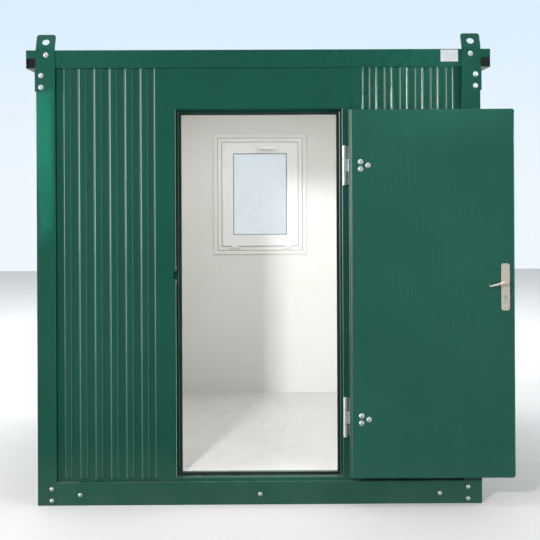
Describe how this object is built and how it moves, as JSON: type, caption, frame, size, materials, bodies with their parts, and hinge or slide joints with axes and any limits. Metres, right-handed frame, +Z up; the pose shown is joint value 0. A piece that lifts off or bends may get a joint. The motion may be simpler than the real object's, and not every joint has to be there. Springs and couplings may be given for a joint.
{
  "type": "portable site cabin",
  "caption": "Small flat-roofed steel site cabin with ribbed green walls, a white lined room, a hinged door with lever handle, a rear window and lifting lugs.",
  "frame": {"origin": "centre of the base on the ground, on the middle floor joist's underside", "axes": "+Z up, -Y out of the doorway at the front, +X to the hinge side of the door"},
  "size_m": [2.306, 2.304, 2.2272],
  "materials": {
    "green_paint": "semi-gloss coil-coated moss green",
    "door_paint": "smooth semi-gloss moss green",
    "roof_paint": "semi-gloss moss green, dusty",
    "galvanised_steel": "dull galvanised",
    "floor_sheet": "pale vinyl sheet",
    "white_lining": "satin white laminate",
    "threshold_steel": "painted folded steel",
    "rubber_seal": "black extruded seal",
    "zinc_plate": "bright zinc plate",
    "handle_steel": "satin champagne grey",
    "white_pvc": "white extruded profile",
    "window_glass": "clear sealed unit"
  },
  "bodies": {
    "cabin": {"front_sill": "green_paint", "rear_sill": "green_paint", "side_sills": "green_paint", "corner_post_front_left": "green_paint", "corner_post_front_right": "green_paint", "corner_post_rear_left": "green_paint", "corner_post_rear_right": "green_paint", "front_head_beam": "green_paint", "rear_head_beam": "green_paint", "side_head_beams": "green_paint", "left_eaves_rail": "green_paint", "right_eaves_rail": "green_paint", "lug_front_left": "green_paint", "lug_front_right": "green_paint", "lug_rear_left": "green_paint", "lug_rear_right": "green_paint", "front_wall_left": "green_paint", "front_wall_right": "green_paint", "left_wall": "green_paint", "right_wall": "green_paint", "rear_wall": "green_paint", "door_jamb_left": "green_paint", "door_jamb_right": "green_paint", "door_head": "green_paint", "roof_panel": "roof_paint", "floor_joists": "galvanised_steel", "floor_deck": "floor_sheet", "ceiling_panel": "white_lining", "front_lining": "white_lining", "side_linings": "white_lining", "rear_lining": "white_lining", "door_threshold": "threshold_steel", "door_seal": "rubber_seal", "hinge_plates": "zinc_plate", "hinge_pins": "zinc_plate", "window_frame": "white_pvc", "window_sash": "white_pvc", "window_glass": "window_glass", "window_trims": "white_pvc", "window_handle": "white_pvc"},
    "door": {"hinge_straps": "zinc_plate", "door_leaf": "door_paint", "door_escutcheons": "handle_steel", "lock_cylinder": "zinc_plate"},
    "handle": {"lever_handles": "handle_steel"},
    "latch": {"latch_bolt": "zinc_plate"}
  },
  "joints": [
    {"name": "door_swing", "type": "hinge", "parent": "cabin", "child": "door", "pos_m": [0.405, -1.086, 1], "axis": [0, 0, -1], "range_deg": [0, 180]},
    {"name": "lever_turn", "type": "hinge", "parent": "door", "child": "handle", "pos_m": [1.152, -1.119, 1.053], "axis": [0, -1, 0], "range_deg": [0, 40], "stiffness_Nm_per_rad": 1, "springref_deg": -17.19},
    {"name": "latch_slide", "type": "slide", "parent": "door", "child": "latch", "axis": [-1, 0, 0], "range_m": [0, 0.012]}
  ],
  "couplings": [
    {"joint": "latch_slide", "follows": "lever_turn", "m_per_rad": 0.017189}
  ]
}
